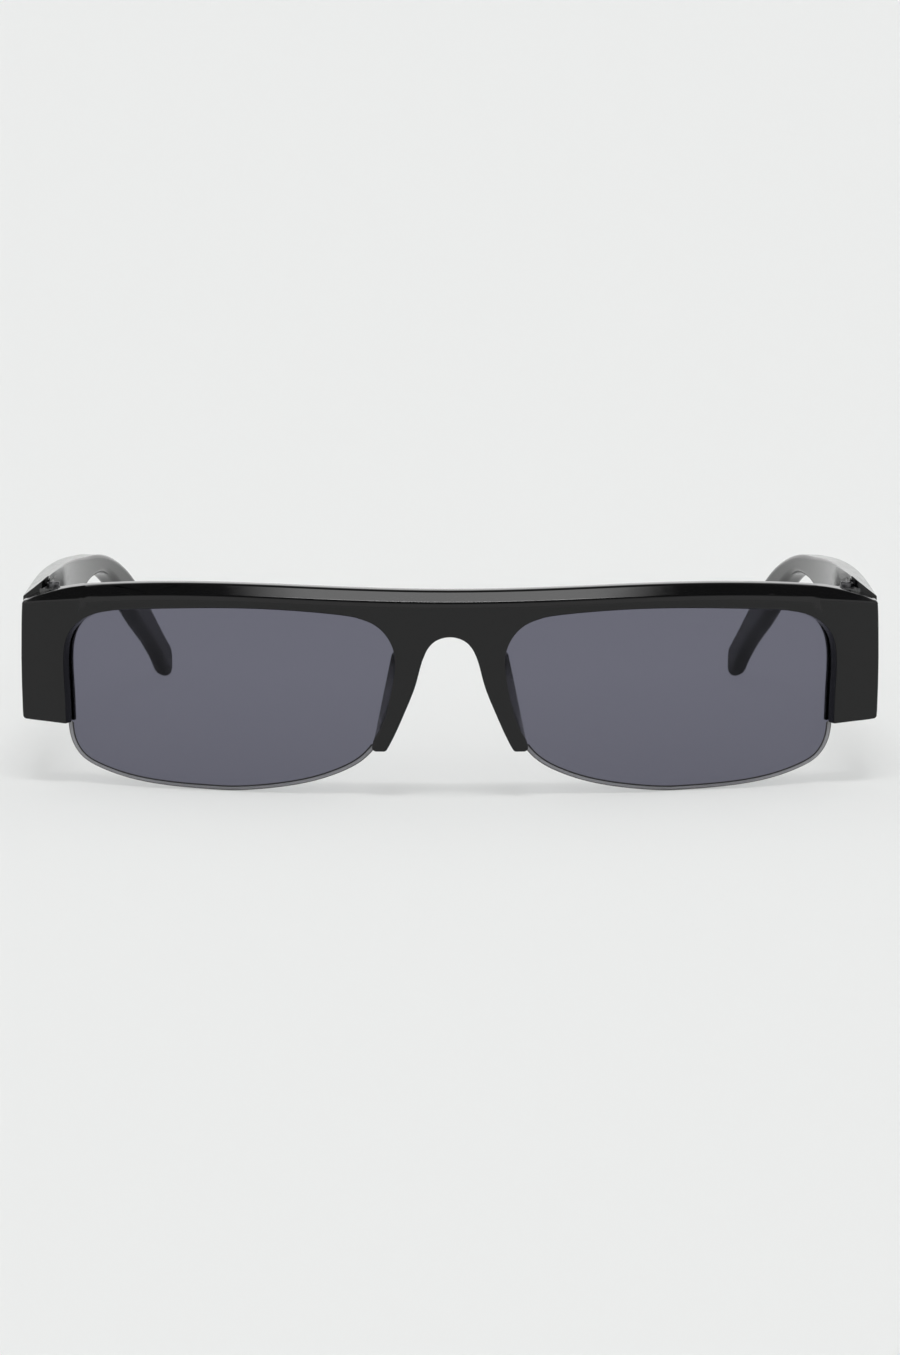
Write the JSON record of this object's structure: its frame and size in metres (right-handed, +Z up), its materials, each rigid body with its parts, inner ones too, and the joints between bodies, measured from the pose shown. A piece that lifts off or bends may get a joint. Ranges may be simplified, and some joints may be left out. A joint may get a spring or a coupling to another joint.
{
  "type": "sunglasses",
  "caption": "Narrow half-rim sunglasses: a curved brow bar with end pieces holds tinted lenses that are bare at the bottom, and broad temples fold on barrel hinges.",
  "frame": {"origin": "on the flat surface that the open glasses stand on, midway across and midway between the front of the face and the temple tips", "axes": "+Z up, -Y the way the front faces when worn, +X the wearer's left"},
  "size_m": [0.145, 0.141, 0.0352],
  "materials": {
    "frame_plastic": "polished black acetate",
    "temple_plastic": "polished black acetate",
    "lens_tint": "grey tint, polished",
    "hinge_metal": "satin black nickel",
    "screw_metal": "dark satin steel",
    "core_metal": "drawn nickel silver"
  },
  "bodies": {
    "front": {"front_frame": "frame_plastic", "lens_left": "lens_tint", "lens_right": "lens_tint", "nose_pad_left": "frame_plastic", "nose_pad_right": "frame_plastic", "hinge_front_leaf_left": "hinge_metal", "hinge_front_leaf_right": "hinge_metal", "hinge_screw_left": "screw_metal", "hinge_screw_right": "screw_metal"},
    "temple_left": {"temple_left": "temple_plastic", "core_wire_left": "core_metal", "hinge_temple_leaf_left": "hinge_metal"},
    "temple_right": {"temple_right": "temple_plastic", "core_wire_right": "core_metal", "hinge_temple_leaf_right": "hinge_metal"}
  },
  "joints": [
    {"name": "temple_left_fold", "type": "hinge", "parent": "front", "child": "temple_left", "pos_m": [0.0673, -0.04757, 0.0287], "axis": [0, 0, 1], "range_deg": [0, 86]},
    {"name": "temple_right_fold", "type": "hinge", "parent": "front", "child": "temple_right", "pos_m": [-0.0673, -0.04757, 0.0287], "axis": [0, 0, -1], "range_deg": [0, 78]}
  ]
}
